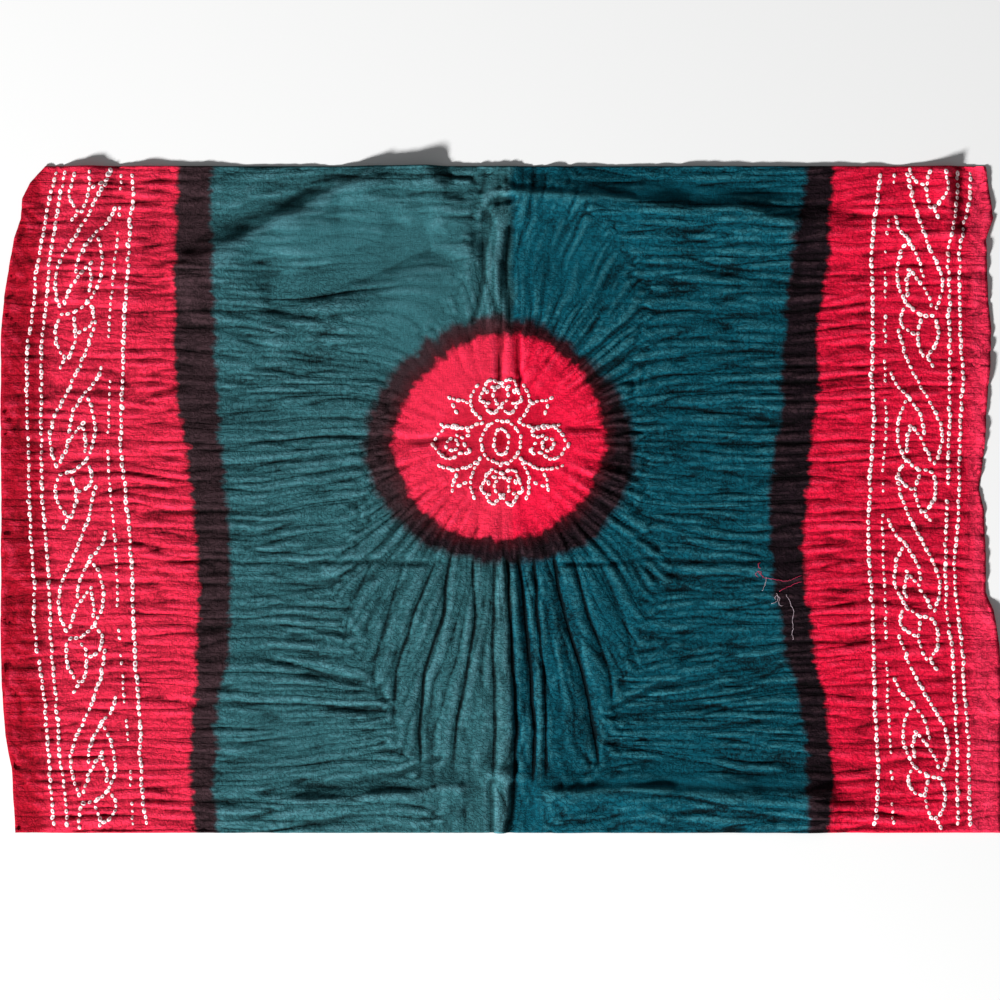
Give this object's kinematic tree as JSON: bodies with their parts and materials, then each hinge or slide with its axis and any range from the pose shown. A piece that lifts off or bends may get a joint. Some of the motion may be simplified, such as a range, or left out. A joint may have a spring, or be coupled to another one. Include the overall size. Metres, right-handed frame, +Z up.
{
  "type": "bandhani cotton cloth",
  "caption": "Cut length of tie-dyed cotton bandhani cloth lying spread out in its folds and crinkles, with dotted red borders and a dotted medallion.",
  "frame": {"origin": "centre of the cloth's footprint, on the ground that it lies on", "axes": "+X across the cloth to its right selvedge, +Y along its length towards the picture's top, +Z up from the ground"},
  "size_m": [0.9209, 0.6136, 0.014],
  "materials": {
    "dyed_cotton": "matt plain-woven cotton, resist-dyed crimson, black and teal"
  },
  "bodies": {
    "root": {"cloth": "dyed_cotton"}
  },
  "joints": []
}
